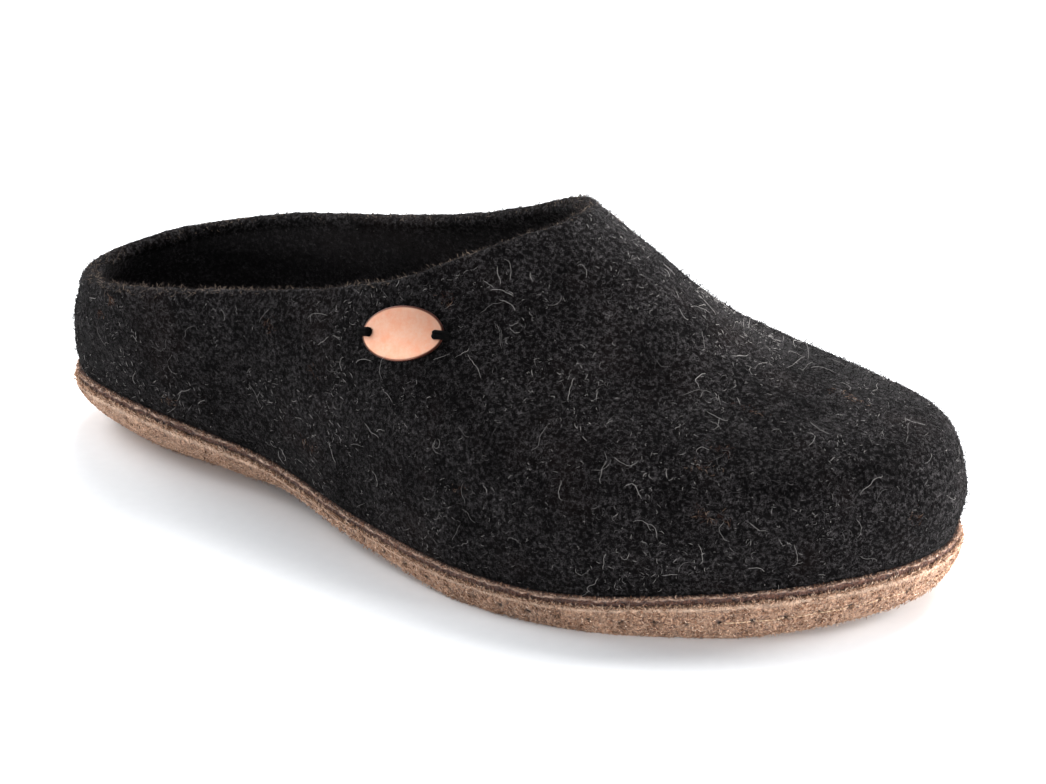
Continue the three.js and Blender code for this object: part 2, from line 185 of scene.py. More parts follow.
def ease(start, end, at):
    """From 0 to 1 between two values, level at both: 3t^2 - 2t^3."""
    t = np.clip((at - start) / (end - start), 0, 1)
    return t * t * (3 - 2 * t)


def point(x, y, z):
    return np.stack(np.broadcast_arrays(x, y, z), axis=-1).astype(float)


def scaled(vector, by):
    return vector * np.asarray(by, float)[..., None]


def unit(vector):
    return vector / np.linalg.norm(vector, axis=-1, keepdims=True)


def bumps(points, size, seed):
    """Random heights from -1 to 1 on a cubic lattice of that size, blended smoothly between its corners."""
    place = points / size
    cell = np.floor(place).astype(np.int64)
    t = ease(0, 1, place - cell)
    total = 0
    for corner in np.ndindex(2, 2, 2):
        i, j, k = np.moveaxis(cell + corner, -1, 0)
        mixed = (i * 73856093) ^ (j * 19349663) ^ (k * 83492791) ^ (seed * 2654435761)
        mixed = (mixed ^ (mixed >> 13)) * 1274126177
        height = ((mixed ^ (mixed >> 16)) & 0xFFFF) / 32767.5 - 1
        total = total + height * np.prod(np.where(corner, t, 1 - t), axis=-1)
    return total


def layered(points, layers):
    """Lumps of several sizes together. layers holds each one's height, size and seed."""
    return sum(height * bumps(points, size, seed) for height, size, seed in layers)


def fullness(table, half, back, front):
    """Scale of a circle stretched to a length: half width over 2 sqrt(at (1 - at)), and at each end the
    root of its radius times half its length. back and front are (length, radius)."""
    at, half = np.array(table["at"]), np.array(half)
    inner = (at > 0) & (at < 1)
    full = half[inner] / (2 * np.sqrt(at[inner] * (1 - at[inner])))
    ends = [np.sqrt(length * radius / 2) for length, radius in (back, front)]
    return {"at": [0, *at[inner], 1], "full": [ends[0], *full, ends[1]]}


OUTLINE_FULL = fullness(
    OUTLINE,
    np.array(OUTLINE["heel"]) * HEEL_WIDTH + np.array(OUTLINE["ball"]) * BALL_WIDTH,
    (LENGTH, HEEL_RADIUS),
    (LENGTH, TOE_RADIUS),
)
OUTLINE_MIDDLE = {"at": [0, *OUTLINE["at"], 1], "swing": [0, *OUTLINE["swing"], 1]}
COLLAR_LENGTH = LENGTH - COLLAR_FRONT - COLLAR_BACK
COLLAR_FULL = fullness(
    COLLAR,
    np.array(COLLAR["half"]) * COLLAR_WIDTH,
    (COLLAR_LENGTH * (1 + COLLAR_EASE), COLLAR_BACK_RADIUS),
    (COLLAR_LENGTH * (1 - COLLAR_EASE), THROAT_RADIUS),
)


def share(angle):
    """Share of the length at an angle round the shoe: 1 at the toe (0), 0 at the heel (pi)."""
    return (1 + np.cos(angle)) / 2


def outline(angle):
    """The sole's top edge in plan: the middle line plus a circle scaled to the shoe's width."""
    at = share(angle)
    middle = smooth(OUTLINE_MIDDLE, "swing", at) * TOE_SWING
    return point(at * LENGTH, middle + smooth(OUTLINE_FULL, "full", at) * np.sin(angle), 0)


def outwards(angle):
    """Out of the outline in plan: its run turned by a quarter."""
    run = outline(angle + SLOPE_STEP) - outline(angle - SLOPE_STEP)
    return unit(point(run[..., 1], -run[..., 0], 0))


def drawn_in(angle, inset):
    return outline(angle) - scaled(outwards(angle), inset)


def top_height(x):
    at = np.clip(x / LENGTH, 0, 1)
    heights = {"heel": HEEL_HEIGHT, "ball": BALL_HEIGHT, "toe": TOE_HEIGHT}
    return sum(smooth(SOLE, key, at) * height for key, height in heights.items())


def under_height(x):
    at = np.clip(x / LENGTH, 0, 1)
    return smooth(SOLE, "arch", at) * ARCH_LIFT + smooth(SOLE, "spring", at) * TOE_SPRING


def taper(at):
    insets = {"heelIn": HEEL_TAPER, "ballIn": BALL_TAPER, "toeIn": TOE_TAPER}
    return sum(smooth(SOLE, key, at) * inset for key, inset in insets.items())


def on_edge(angle, inset, lift):
    """On the level of the sole's top edge, drawn in and raised."""
    place = drawn_in(angle, inset)
    place[..., 2] = top_height(place[..., 0]) + lift
    return place


def collar(angle):
    """The line where the felt turns over into its rim."""
    at = share(angle)
    x = COLLAR_BACK + COLLAR_LENGTH * at * (1 + COLLAR_EASE - COLLAR_EASE * at)
    y = smooth(COLLAR, "swing", at) * TOE_SWING + smooth(COLLAR_FULL, "full", at) * np.sin(angle)
    rise = smooth(COLLAR, "rise", at) * (INSTEP_HEIGHT - BACK_HEIGHT)
    return point(x, y, BACK_HEIGHT - RIM_RISE + rise)


def wall(angle, up):
    """The felt's outer face, from the rand (up 0) to the rim (1): the way from its foot to the collar is
    covered by reach sideways and by rise upwards, mixed from the toe's, the sides' and the heel's."""
    at = share(angle)
    toe = ease(TOE_STARTS, 1, at)
    heel = 1 - ease(HEEL_HOLDS, HEEL_ENDS, at)
    side = 1 - toe - heel
    at_heel = heel * smooth(WALL, "heel", up)
    reach = toe * smooth(WALL, "toeReach", up) + side * smooth(WALL, "sideReach", up) + at_heel
    rise = toe * smooth(WALL, "toeRise", up) + side * smooth(WALL, "sideRise", up) + at_heel
    foot = on_edge(angle, LEDGE, GAP)
    swell = scaled(outwards(angle), smooth(WALL, "bulge", up) * BULGE)
    roll = ease(THROAT_FROM, 1, at) * smooth(THROAT_ROLL, "lift", up)
    roll = roll + ease(THROAT_FROM, 1, up) * smooth(THROAT_RIM, "lift", at)
    return foot + (collar(angle) - foot) * point(reach, reach, rise) + swell + point(0, 0, roll)


def wall_frame(angle, up):
    """The wall's directions at a point: around and up, as slopes, and out, their crossed unit."""
    step = SLOPE_STEP
    low, high = np.maximum(up - step, 0), np.minimum(up + step, 1)
    around = (wall(angle + step, up) - wall(angle - step, up)) / (2 * step)
    rise = (wall(angle, high) - wall(angle, low)) / np.asarray(high - low)[..., None]
    return around, rise, unit(np.cross(around, rise))


def lining(angle, up):
    """The felt's inner face: the outer one moved in by the felt, and straight below LINING_FOOT."""
    held = np.maximum(up, LINING_FOOT)
    inside = wall(angle, held) - FELT * wall_frame(angle, held)[2]
    foot = on_edge(angle, LEDGE + FELT, GAP)
    t = np.clip(up / LINING_FOOT, 0, 1)[..., None]
    return foot * (1 - t) + inside * t


def rim(angle, turn):
    """The rim's half round over the felt's thickness, from the wall (turn 0) to the lining (pi)."""
    _, rise, out = wall_frame(angle, 1.0)
    across = scaled(out, -FELT / 2 * (1 - np.cos(turn)))
    return wall(angle, 1.0) + across + scaled(unit(rise), RIM_RISE * np.sin(turn))


def spread(edge, shares, height):
    """Loops between an edge and its spine, at shares of the way out. The spine is the mean of the two
    sides, drawn towards the shoe's middle. height gives z from x, share and angle."""
    columns = len(edge)
    spine = (edge + edge[-np.arange(columns) % columns]) / 2
    spine[:, 0] = LENGTH / 2 + (spine[:, 0] - LENGTH / 2) * SPINE_REACH
    angle = turn(columns)
    loops = [spine + (edge - spine) * part for part in shares]
    for loop, part in zip(loops, shares):
        loop[:, 2] = height(loop[:, 0], part, angle)
    return loops


def turn(columns):
    return np.arange(columns) * FULL_TURN / columns


def grid_normals(grid, ring):
    """Out of a grid of points: its run round the shoe crossed with its run from row to row."""
    across = np.roll(grid, -1, 1) - np.roll(grid, 1, 1)
    rows = np.roll(grid, -1, 0) - np.roll(grid, 1, 0) if ring else np.gradient(grid, axis=0)
    crossed = np.cross(across, rows)
    return crossed / np.maximum(np.linalg.norm(crossed, axis=-1, keepdims=True), 1e-9)


# The badge's middle and its directions: along its length, up the wall, and out
badge_angle = FULL_TURN - np.arccos(2 * BADGE_AT - 1)
badge_around, _, badge_out = wall_frame(badge_angle, BADGE_UP)
badge_level = unit(badge_around)
badge_upright = np.cross(badge_out, badge_level)
badge_middle = wall(badge_angle, BADGE_UP)


def on_badge(along, across, lift):
    """A point of the badge, laid on the felt from the plane that touches it at the badge's middle, and
    raised off it. Each round solves for the place on the wall that lies nearest to the point."""
    angle = np.full(np.shape(along), badge_angle)
    up = np.full(np.shape(along), BADGE_UP)
    goal = badge_middle + scaled(badge_level, along) + scaled(badge_upright, across)
    for _ in range(4):
        around, rise, _ = wall_frame(angle, up)
        miss = goal - wall(angle, up)
        aa, ar, rr = (around * around).sum(-1), (around * rise).sum(-1), (rise * rise).sum(-1)
        ma, mr = (miss * around).sum(-1), (miss * rise).sum(-1)
        angle = angle + (ma * rr - mr * ar) / (aa * rr - ar * ar)
        up = up + (mr * aa - ma * ar) / (aa * rr - ar * ar)
    return wall(angle, up) + scaled(wall_frame(angle, up)[2], lift)


def near_badge(points):
    """Distance from the badge's middle in its own half lengths: 1 on its edge."""
    from_middle = points - badge_middle
    along = from_middle @ badge_level / (BADGE_LENGTH / 2)
    across = from_middle @ badge_upright / (BADGE_WIDTH / 2)
    return np.sqrt(along**2 + across**2 + (from_middle @ badge_out / BADGE_LENGTH) ** 2)


# Meshes from arrays

# The solids' own place: the outline's end and its middle line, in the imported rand's box
rand_low, rand_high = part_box("rand")
outline_y = outline(turn(96))[:, 1]
PLACE = np.array(
    [rand_low.x / MM, (rand_low.y + rand_high.y) / 2 / MM - (outline_y.min() + outline_y.max()) / 2, 0]
)


def piece(name, points, faces, material, uv=None, tone=None, replaces=()):
    """A mesh object: points in millimetres from the heel's end, faces of one size, uv per corner."""
    mesh = bpy.data.meshes.new(name)
    mesh.vertices.add(len(points))
    mesh.vertices.foreach_set("co", ((points + PLACE) * MM).astype(np.float32).ravel())
    mesh.loops.add(faces.size)
    mesh.loops.foreach_set("vertex_index", faces.astype(np.int32).ravel())
    mesh.polygons.add(len(faces))
    mesh.polygons.foreach_set("loop_start", np.arange(0, faces.size, faces.shape[1], dtype=np.int32))
    mesh.update(calc_edges=True)
    mesh.polygons.foreach_set("use_smooth", np.ones(len(faces), bool))
    if uv is not None:
        mesh.uv_layers.new(name="along").data.foreach_set("uv", uv.astype(np.float32).ravel())
    if tone is not None:
        mesh.attributes.new("tone", "FLOAT", "POINT").data.foreach_set("value", tone.astype(np.float32))
    mesh.materials.append(material)
    made = bpy.data.objects.new(name, mesh)
    bpy.context.scene.collection.objects.link(made)
    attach(made, "root")
    if replaces:
        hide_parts(*replaces)
    return made


def skin(grid, ring, tone=None):
    """A closed skin over loops of points. A ring's last loop joins its first. Otherwise the first and
    last loops lie double, and each is sewn to itself. Returns points, faces, uv per corner in metres
    and tone."""
    rows, columns = grid.shape[:2]
    index = np.arange(rows * columns).reshape(rows, columns)
    if not ring:
        twin = np.minimum(np.arange(columns), -np.arange(columns) % columns)
        index[[0, -1]] = index[[0, -1]][:, twin]
    strips = rows if ring else rows - 1
    near = index[:strips]
    far = np.roll(index, -1, 0)[:strips]
    faces = np.stack([near, np.roll(near, -1, 1), np.roll(far, -1, 1), far], -1).reshape(-1, 4)
    around = np.linalg.norm(np.roll(grid, -1, 1) - grid, axis=-1).mean(0)
    around = np.concatenate([[0], np.cumsum(around)])
    up = np.linalg.norm(np.roll(grid, -1, 0) - grid, axis=-1).mean(1)
    up = np.concatenate([[0], np.cumsum(up)])
    u0, v0 = np.meshgrid(around[:-1], up[:strips])
    u1, v1 = np.meshgrid(around[1:], up[1 : strips + 1])
    uv = np.stack([u0, v0, u1, v0, u1, v1, u0, v1], -1).reshape(-1, 2) * MM
    used, faces = np.unique(faces, return_inverse=True)
    values = None if tone is None else tone.reshape(-1)[used]
    return grid.reshape(-1, 3)[used], faces.reshape(-1, 4), uv, values


def swept(paths, side, over, radius, around):
    """Closed tubes along paths of points, one array (tube, step, 3). A section has a point at each angle in
    around, from side towards over, and both ends come to a point."""
    count, sides = len(paths), len(around)
    section = side[:, :, None] * np.cos(around)[:, None] + over[:, :, None] * np.sin(around)[:, None]
    rings = (paths[:, :, None] + radius * section)[:, 1:-1]
    points = np.concatenate([paths[:, :1], rings.reshape(count, -1, 3), paths[:, -1:]], axis=1)
    each = points.shape[1]
    k = np.arange(sides)
    n = (k + 1) % sides
    last = each - 1 - sides
    faces = [np.stack([0 * k, 1 + n, 1 + k], -1)]
    for a in range(1, last, sides):
        faces += [np.stack([a + k, a + n, a + sides + n], -1)]
        faces += [np.stack([a + k, a + sides + n, a + sides + k], -1)]
    faces += [np.stack([last + k, last + n, 0 * k + each - 1], -1)]
    faces = (np.concatenate(faces)[None] + np.arange(count)[:, None, None] * each).reshape(-1, 3)
    return points.reshape(-1, 3), faces, each


def hairs(roots, out, heading, length, width, curl, lean, steps, seed, fall=1.6):
    """Closed slivers. Each starts a little under its root and takes equal steps. Its heading turns about
    out by curl in all, with a random kink at each step, and its slope falls from lean by that times fall:
    above 1 it lies down again. The section is a triangle that comes to a point at both ends."""
    chance = np.random.default_rng(seed)
    count = len(roots)
    first = unit(np.cross(out, unit(chance.normal(size=(count, 3)))))
    second = np.cross(out, first)
    go = np.linspace(0, 1, steps)
    kinks = np.cumsum(chance.normal(0, KINK, (count, steps)), axis=1)
    bend = heading[:, None] + curl[:, None] * go + kinks
    slope = lean[:, None] * (1 - np.reshape(fall, (-1, 1)) * go)
    flat = scaled(first[:, None], np.cos(bend)) + scaled(second[:, None], np.sin(bend))
    run = scaled(flat, np.cos(slope)) + scaled(out[:, None], np.sin(slope))
    line = np.cumsum(scaled(run, (length / (steps - 1))[:, None]), axis=1)
    line = np.concatenate([np.zeros((count, 1, 3)), line[:, :-1]], axis=1) + (roots - ROOT * out)[:, None]
    side = unit(np.cross(run, out[:, None] + 0 * run))
    radius = (width / 2)[:, None, None, None]
    return swept(line, side, np.cross(side, run), radius, turn(3) + np.pi / 2)


def tubes(paths, radius, sides):
    """Round tubes along paths of points."""
    run = unit(np.gradient(paths, axis=1))
    side = unit(np.cross(run, np.array([0.31, 0.2, 0.93])))
    return swept(paths, side, np.cross(side, run), radius, turn(sides))[:2]


def scatter(surface, low, high, count, seed):
    """Random places on a surface of two parameters, evenly by area: tries are kept in proportion to how
    far the surface stretches there. Returns the two parameters and the directions out."""
    chance = np.random.default_rng(seed)
    a = chance.uniform(low[0], high[0], count * 6)
    b = chance.uniform(low[1], high[1], count * 6)
    step = SLOPE_STEP
    da = surface(a + step, b) - surface(a - step, b)
    db = surface(a, np.minimum(b + step, high[1])) - surface(a, np.maximum(b - step, low[1]))
    crossed = np.cross(da, db)
    area = np.linalg.norm(crossed, axis=-1)
    kept = np.flatnonzero(chance.uniform(size=len(a)) * np.percentile(area, 99) < area)[:count]
    return a[kept], b[kept], unit(crossed[kept])


def short_fibres(
    name, roots, out, chance, seed, material,
    length, width, curl, lean, steps, tones, fall=1.6, shorter=1, tuft=0,
):
    """Fibres from roots. Lengths, widths and leans off the surface lie evenly between two ends, curls
    spread about 0, and tones are a beta spread plus tuft. None reaches the floor."""
    count = len(roots)
    heading = chance.uniform(0, FULL_TURN, count)
    length = chance.uniform(*length, count) * shorter
    width = chance.uniform(*width, count)
    curl = chance.normal(0, curl, count)
    lean = chance.uniform(*lean, count)
    points, faces, each = hairs(roots, out, heading, length, width, curl, lean, steps, seed, fall)
    points[:, 2] = np.maximum(points[:, 2], OFF_FLOOR)
    tone = np.clip(chance.beta(*tones, count) + tuft, 0, 1)
    piece(name, points, faces, material, tone=np.repeat(tone, each))


# Materials


def linear(value):
    """An sRGB hex colour as linear red, green, blue and alpha."""
    srgb = np.array([int(value[k : k + 2], 16) for k in (1, 3, 5)]) / 255
    return [*np.where(srgb <= 0.04045, srgb / 12.92, ((srgb + 0.055) / 1.055) ** 2.4), 1]


def add(tree, kind, sockets=None, stops=None, **settings):
    """A shader node with its settings. sockets sets each input to a value, a hex colour or another output,
    and stops are a ramp's places and hex colours."""
    made = tree.nodes.new("ShaderNode" + kind)
    for key, value in settings.items():
        setattr(made, key, value)
    for key, value in (sockets or {}).items():
        if isinstance(value, bpy.types.NodeSocket):
            tree.links.new(value, made.inputs[key])
        else:
            made.inputs[key].default_value = linear(value) if isinstance(value, str) else value
    if stops:
        elements = made.color_ramp.elements
        while len(elements) < len(stops):
            elements.new(0.5)
        for element, (place, colour) in zip(elements, stops):
            element.position, element.color = place, linear(colour)
    return made


def new_material(name, finish):
    """An empty material with its tree, its output and its shader. finish is what is the same all over."""
    material = bpy.data.materials.new(name)
    material.use_nodes = True
    tree = material.node_tree
    tree.nodes.clear()
    shader = add(tree, "BsdfPrincipled", finish)
    add(tree, "OutputMaterial", {"Surface": shader.outputs["BSDF"]})
    return material, tree, shader


def curly_lines(tree, coordinates, size, thickness, twist):
    """Thin curled lines: 1 where a noise of that size in metres crosses its middle, 0 beside it."""
    noise = add(
        tree, "TexNoise", {"Vector": coordinates, "Scale": 1 / size, "Detail": 2.5, "Distortion": twist}
    )
    off = add(tree, "Math", {0: noise.outputs["Fac"], 1: 0.5}, operation="SUBTRACT")
    off = add(tree, "Math", {0: off.outputs[0]}, operation="ABSOLUTE")
    ends = {"From Min": 0, "From Max": thickness, "To Min": 1, "To Max": 0}
    return add(tree, "MapRange", {"Value": off.outputs[0], **ends}).outputs["Result"]


def wool_felt(name, dark, light, brown, fibre):
    """Thick needled wool felt: near-black wool with paler fibres felted in. It is matt, mottled over a few
    millimetres, and made up of fine curled fibres that break off where they dive into the felt. tone is 1 on
    the lining, which is painted a little paler as painted light inside the shoe."""
    finish = {
        "Roughness": 1,
        "IOR": 1.54,
        "Specular IOR Level": 0.03,
        "Sheen Weight": 0.03,
        "Sheen Roughness": 0.3,
    }
    material, tree, shader = new_material(name, finish)
    place = add(tree, "TexCoord").outputs["Object"]
    blotch = add(tree, "TexNoise", {"Vector": place, "Scale": 1 / 0.013, "Detail": 3, "Roughness": 0.6})
    mottle = add(tree, "TexNoise", {"Vector": place, "Scale": 1 / 0.0014, "Detail": 4, "Roughness": 0.65})
    both = add(tree, "Mix", {0: 0.6, 2: blotch.outputs["Fac"], 3: mottle.outputs["Fac"]})
    ground = add(tree, "ValToRGB", {"Fac": both.outputs[0]}, stops=[(0.4, dark), (0.62, light)])
    tint = add(tree, "TexNoise", {"Vector": place, "Scale": 1 / 0.019, "Detail": 2})
    tinted = add(
        tree, "MapRange", {"Value": tint.outputs["Fac"], "From Min": 0.52, "From Max": 0.72, "To Max": 0.6}
    )
    ground = add(
        tree, "Mix", {0: tinted.outputs["Result"], 6: ground.outputs[0], 7: brown}, data_type="RGBA"
    )
    # Fibres are 0.03 mm thick, too fine to show, so they are drawn at about 0.15 mm.
    fibres = curly_lines(tree, place, 0.0021, 0.024, 1.8)
    for size, thickness, twist in ((0.0014, 0.032, 1.5), (0.001, 0.045, 1.2)):
        layer = curly_lines(tree, place, size, thickness, twist)
        fibres = add(tree, "Math", {0: fibres, 1: layer}, operation="MAXIMUM").outputs[0]
    grain = add(tree, "TexNoise", {"Vector": place, "Scale": 1 / 0.0006, "Detail": 1.5, "Distortion": 2})
    fleck = add(tree, "MapRange", {"Value": grain.outputs["Fac"], "From Min": 0.63, "From Max": 0.74})
    fibres = add(tree, "Math", {0: fibres, 1: fleck.outputs["Result"]}, operation="MAXIMUM").outputs[0]
    dive = add(tree, "TexNoise", {"Vector": place, "Scale": 1 / 0.0011, "Detail": 2})
    patch = add(
        tree, "MapRange", {"Value": dive.outputs["Fac"], "From Min": 0.42, "From Max": 0.64, "To Min": 0.05}
    )
    thick = add(
        tree, "MapRange", {"Value": blotch.outputs["Fac"], "From Min": 0.35, "From Max": 0.65, "To Min": 0.35}
    )
    patch = add(
        tree, "Math", {0: patch.outputs["Result"], 1: thick.outputs["Result"]}, operation="MULTIPLY"
    )
    shown = add(tree, "Math", {0: fibres, 1: patch.outputs[0]}, operation="MULTIPLY").outputs[0]
    colour = add(tree, "Mix", {0: shown, 6: ground.outputs[2], 7: fibre}, data_type="RGBA")
    # Painted light: where tone is 1, on the lining, the colour is drawn a little towards the pale fibre.
    tone = add(tree, "Attribute", attribute_name="tone").outputs["Fac"]
    lining_light_mix = add(tree, "MapRange", {"Value": tone, "To Max": 0.08})
    colour = add(
        tree, "Mix", {0: lining_light_mix.outputs["Result"], 6: colour.outputs[2], 7: fibre}, data_type="RGBA"
    )
    tree.links.new(colour.outputs[2], shader.inputs["Base Color"])
    height = add(
        tree, "Math", {0: shown, 1: 0.6, 2: mottle.outputs["Fac"]}, operation="MULTIPLY_ADD"
    ).outputs[0]
    relief = add(tree, "Bump", {"Height": height, "Strength": 1, "Distance": 0.0004})
    tree.links.new(relief.outputs["Normal"], shader.inputs["Normal"])
    return material


def loose_fibre(name, stops):
    """Single fibres over a surface, each of one tone along its length, and matt as washed wool is."""
    finish = {"Roughness": 0.9, "IOR": 1.54, "Specular IOR Level": 0.04}
    material, tree, shader = new_material(name, finish)
    tone = add(tree, "Attribute", attribute_name="tone").outputs["Fac"]
    colour = add(tree, "ValToRGB", {"Fac": tone}, stops=stops)
    tree.links.new(colour.outputs[0], shader.inputs["Base Color"])
    return material


def split_suede(name, dark, light, pale, brown):
    """Split cowhide with its nap brushed up: matt tan leather, with pale curled fibres over darker hollows.
    tone draws it from the plain side (0) to its rubbed pale edge (1), and to dark brown (-1), painted shade
    in a needle's hole."""
    finish = {"Roughness": 0.95, "Specular IOR Level": 0.15, "Sheen Weight": 0.15, "Sheen Roughness": 0.6}
    material, tree, shader = new_material(name, finish)
    place = add(tree, "TexCoord").outputs["Object"]
    along = add(tree, "UVMap", uv_map="along").outputs["UV"]
    streaks = add(tree, "Mapping", {"Vector": along, "Scale": (1 / 0.0006, 1 / 0.0035, 1)})
    streak = add(
        tree, "TexNoise", {"Vector": streaks.outputs[0], "Scale": 1, "Detail": 2, "Distortion": 0.6}
    )
    tuft = add(tree, "TexNoise", {"Vector": place, "Scale": 1 / 0.0011, "Detail": 3, "Distortion": 1.2})
    patch = add(tree, "TexNoise", {"Vector": place, "Scale": 1 / 0.012, "Detail": 3})
    nap = add(tree, "Mix", {0: 0.65, 2: streak.outputs["Fac"], 3: tuft.outputs["Fac"]})
    mixed = add(tree, "Mix", {0: 0.2, 2: nap.outputs[0], 3: patch.outputs["Fac"]})
    ground = add(
        tree, "ValToRGB", {"Fac": mixed.outputs[0]}, stops=[(0.4, brown), (0.49, dark), (0.6, light)]
    )
    # Curled fibres are 0.05 mm thick, too fine to show, so they are drawn at about 0.2 mm.
    fibre = curly_lines(tree, place, 0.0022, 0.07, 1.5)
    shown = add(tree, "Math", {0: fibre, 1: 0.7}, operation="MULTIPLY").outputs[0]
    ground = add(tree, "Mix", {0: shown, 6: ground.outputs[0], 7: light}, data_type="RGBA")
    tone = add(tree, "Attribute", attribute_name="tone").outputs["Fac"]
    rubbed_and_hole_shade = add(tree, "MapRange", {"Value": tone})
    worn = add(tree, "Mix", {0: rubbed_and_hole_shade.outputs["Result"], 6: ground.outputs[2], 7: pale}, data_type="RGBA")
    # Painted shade: where tone falls below 0 the suede turns dark brown inside the stitch holes.
    hole_painted_shade = add(tree, "MapRange", {"Value": tone, "From Min": 0, "From Max": -1})
    colour = add(
        tree, "Mix", {0: hole_painted_shade.outputs["Result"], 6: worn.outputs[2], 7: "#24150e"}, data_type="RGBA"
    )
    tree.links.new(colour.outputs[2], shader.inputs["Base Color"])
    height = add(tree, "Math", {0: fibre, 1: 0.35, 2: nap.outputs[0]}, operation="MULTIPLY_ADD").outputs[0]
    relief = add(tree, "Bump", {"Height": height, "Strength": 1, "Distance": 0.0016})
    tree.links.new(relief.outputs["Normal"], shader.inputs["Normal"])
    return material


def copper_dark_edge_and_painted_shade(name):
    """Rolled copper sheet, brushed and waxed: pale pink metal with a satin gloss, fine scratches in all
    directions, and dark brown mixed in by tone: 1 along its edge, and part way over its upper part as painted
    shade."""
    material, tree, shader = new_material(name, {"Metallic": 0.85})
    place = add(tree, "TexCoord").outputs["Object"]
    cloud = add(tree, "TexNoise", {"Vector": place, "Scale": 1 / 0.0035, "Detail": 6, "Roughness": 0.75})
    metal = add(
        tree, "ValToRGB", {"Fac": cloud.outputs["Fac"]}, stops=[(0.35, "#ffb593"), (0.65, "#ffceb2")]
    )
    tone = add(tree, "Attribute", attribute_name="tone").outputs["Fac"]
    # tone mixes in dark brown: along the edge, and as painted shade over the upper part.
    colour = add(tree, "Mix", {0: tone, 6: metal.outputs[0], 7: "#3a1a12"}, data_type="RGBA")
    tree.links.new(colour.outputs[2], shader.inputs["Base Color"])
    strokes = {"Rotation": (0.3, 0.5, 0.6), "Scale": (1 / 0.004, 1 / 0.0003, 1 / 0.0003)}
    brushed = add(tree, "Mapping", {"Vector": place, **strokes})
    scratch = add(tree, "TexNoise", {"Vector": brushed.outputs[0], "Scale": 1, "Detail": 2})
    rough = add(tree, "MapRange", {"Value": scratch.outputs["Fac"], "To Min": 0.3, "To Max": 0.42})
    tree.links.new(rough.outputs["Result"], shader.inputs["Roughness"])
    relief = add(tree, "Bump", {"Height": scratch.outputs["Fac"], "Strength": 0.25, "Distance": 0.00005})
    tree.links.new(relief.outputs["Normal"], shader.inputs["Normal"])
    return material


def waxed_thread(name, colour):
    """Twisted sewing thread, lightly waxed: its plies show as slanting ridges along it."""
    material, tree, shader = new_material(name, {"Roughness": 0.9, "Specular IOR Level": 0.06})
    place = add(tree, "TexCoord").outputs["Object"]
    plies = add(
        tree, "TexWave", {"Vector": place, "Scale": 1 / 0.0035, "Distortion": 1.5}, bands_direction="DIAGONAL"
    )
    shade = add(tree, "Mix", {0: plies.outputs["Fac"], 6: colour[0], 7: colour[1]}, data_type="RGBA")
    tree.links.new(shade.outputs[2], shader.inputs["Base Color"])
    relief = add(tree, "Bump", {"Height": plies.outputs["Fac"], "Strength": 0.5, "Distance": 0.0002})
    tree.links.new(relief.outputs["Normal"], shader.inputs["Normal"])
    return material


felt = wool_felt("charcoal_wool_felt", "#030303", "#090808", "#110b0a", "#5b5758")
footbed_felt = wool_felt("footbed_wool_felt", "#12100f", "#272220", "#2f2621", "#625a55")
wool = loose_fibre("wool_fibres", [(0, "#040404"), (0.42, "#131112"), (0.78, "#413e3f"), (1, "#aba7a4")])
brown_wool = loose_fibre("brown_wool_fibres", [(0, "#131011"), (0.5, "#342e2c"), (1, "#857669")])
russet_wool = loose_fibre("russet_wool_fibres", [(0, "#1d110e"), (0.5, "#48312a"), (1, "#a08772")])
suede = split_suede("tan_split_suede", "#a37a5f", "#d1a98d", "#e6c5ab", "#52352a")
rand_leather = split_suede("rand_cut_edge", "#57372c", "#7f5747", "#e2c1aa", "#2c1812")
suede_nap = loose_fibre("suede_nap", [(0, "#4c3023"), (0.3, "#a27a61"), (0.65, "#cfaa90"), (1, "#e4cab5")])
lip_nap = loose_fibre("rand_nap", [(0, "#6b4a3a"), (0.5, "#b0876f"), (1, "#e2c6b1")])
copper = copper_dark_edge_and_painted_shade("brushed_copper")
black_thread = waxed_thread("black_waxed_thread", ("#010101", "#050404"))
pale_thread = waxed_thread("pale_waxed_thread", ("#b89778", "#dcc1a6"))

# The felt wall


def felt_relief(points, fade):
    """How far the felt stands out of its plain form: soft lumps of 12, 5 and 2 mm, none at its foot, and
    pressed in under the badge."""
    lumps = layered(points, ((0.26, 12, 1), (0.16, 5, 2), (0.09, 2, 3)))
    pressed = 1 - ease(0.95, 1.5, near_badge(points))
    return lumps * fade * (1 - pressed) - DENT * pressed


columns = 400
angle = turn(columns)[None]
outer_rows = np.linspace(0, 1, 76)[:, None]
rim_rows = np.linspace(0, np.pi, 12)[1:-1, None]
inner_rows = np.linspace(1, 0, 28)[:, None]
upper_grid = np.concatenate([wall(angle, outer_rows), rim(angle, rim_rows), lining(angle, inner_rows)])
height = np.concatenate([outer_rows, np.ones_like(rim_rows), inner_rows])
relief = felt_relief(upper_grid, ease(0, 0.05, height))
on_rim = np.concatenate([0 * outer_rows, np.sin(rim_rows), 0 * inner_rows])
relief += 0.2 * bumps(upper_grid, 1.6, 4) * on_rim
upper_grid = upper_grid + scaled(grid_normals(upper_grid, True), relief)
# Painted light on the lining: tone is 1 below its top, so that the shaded inside reads paler.
lining_painted_light = np.concatenate([0 * outer_rows, 0 * rim_rows, 1 - ease(0.9, 1, inner_rows)]) + np.zeros(columns)
points, faces, uv, tone = skin(upper_grid, True, lining_painted_light)
piece("felt_upper", points, faces, felt, uv=uv, tone=tone, replaces=("upper",))


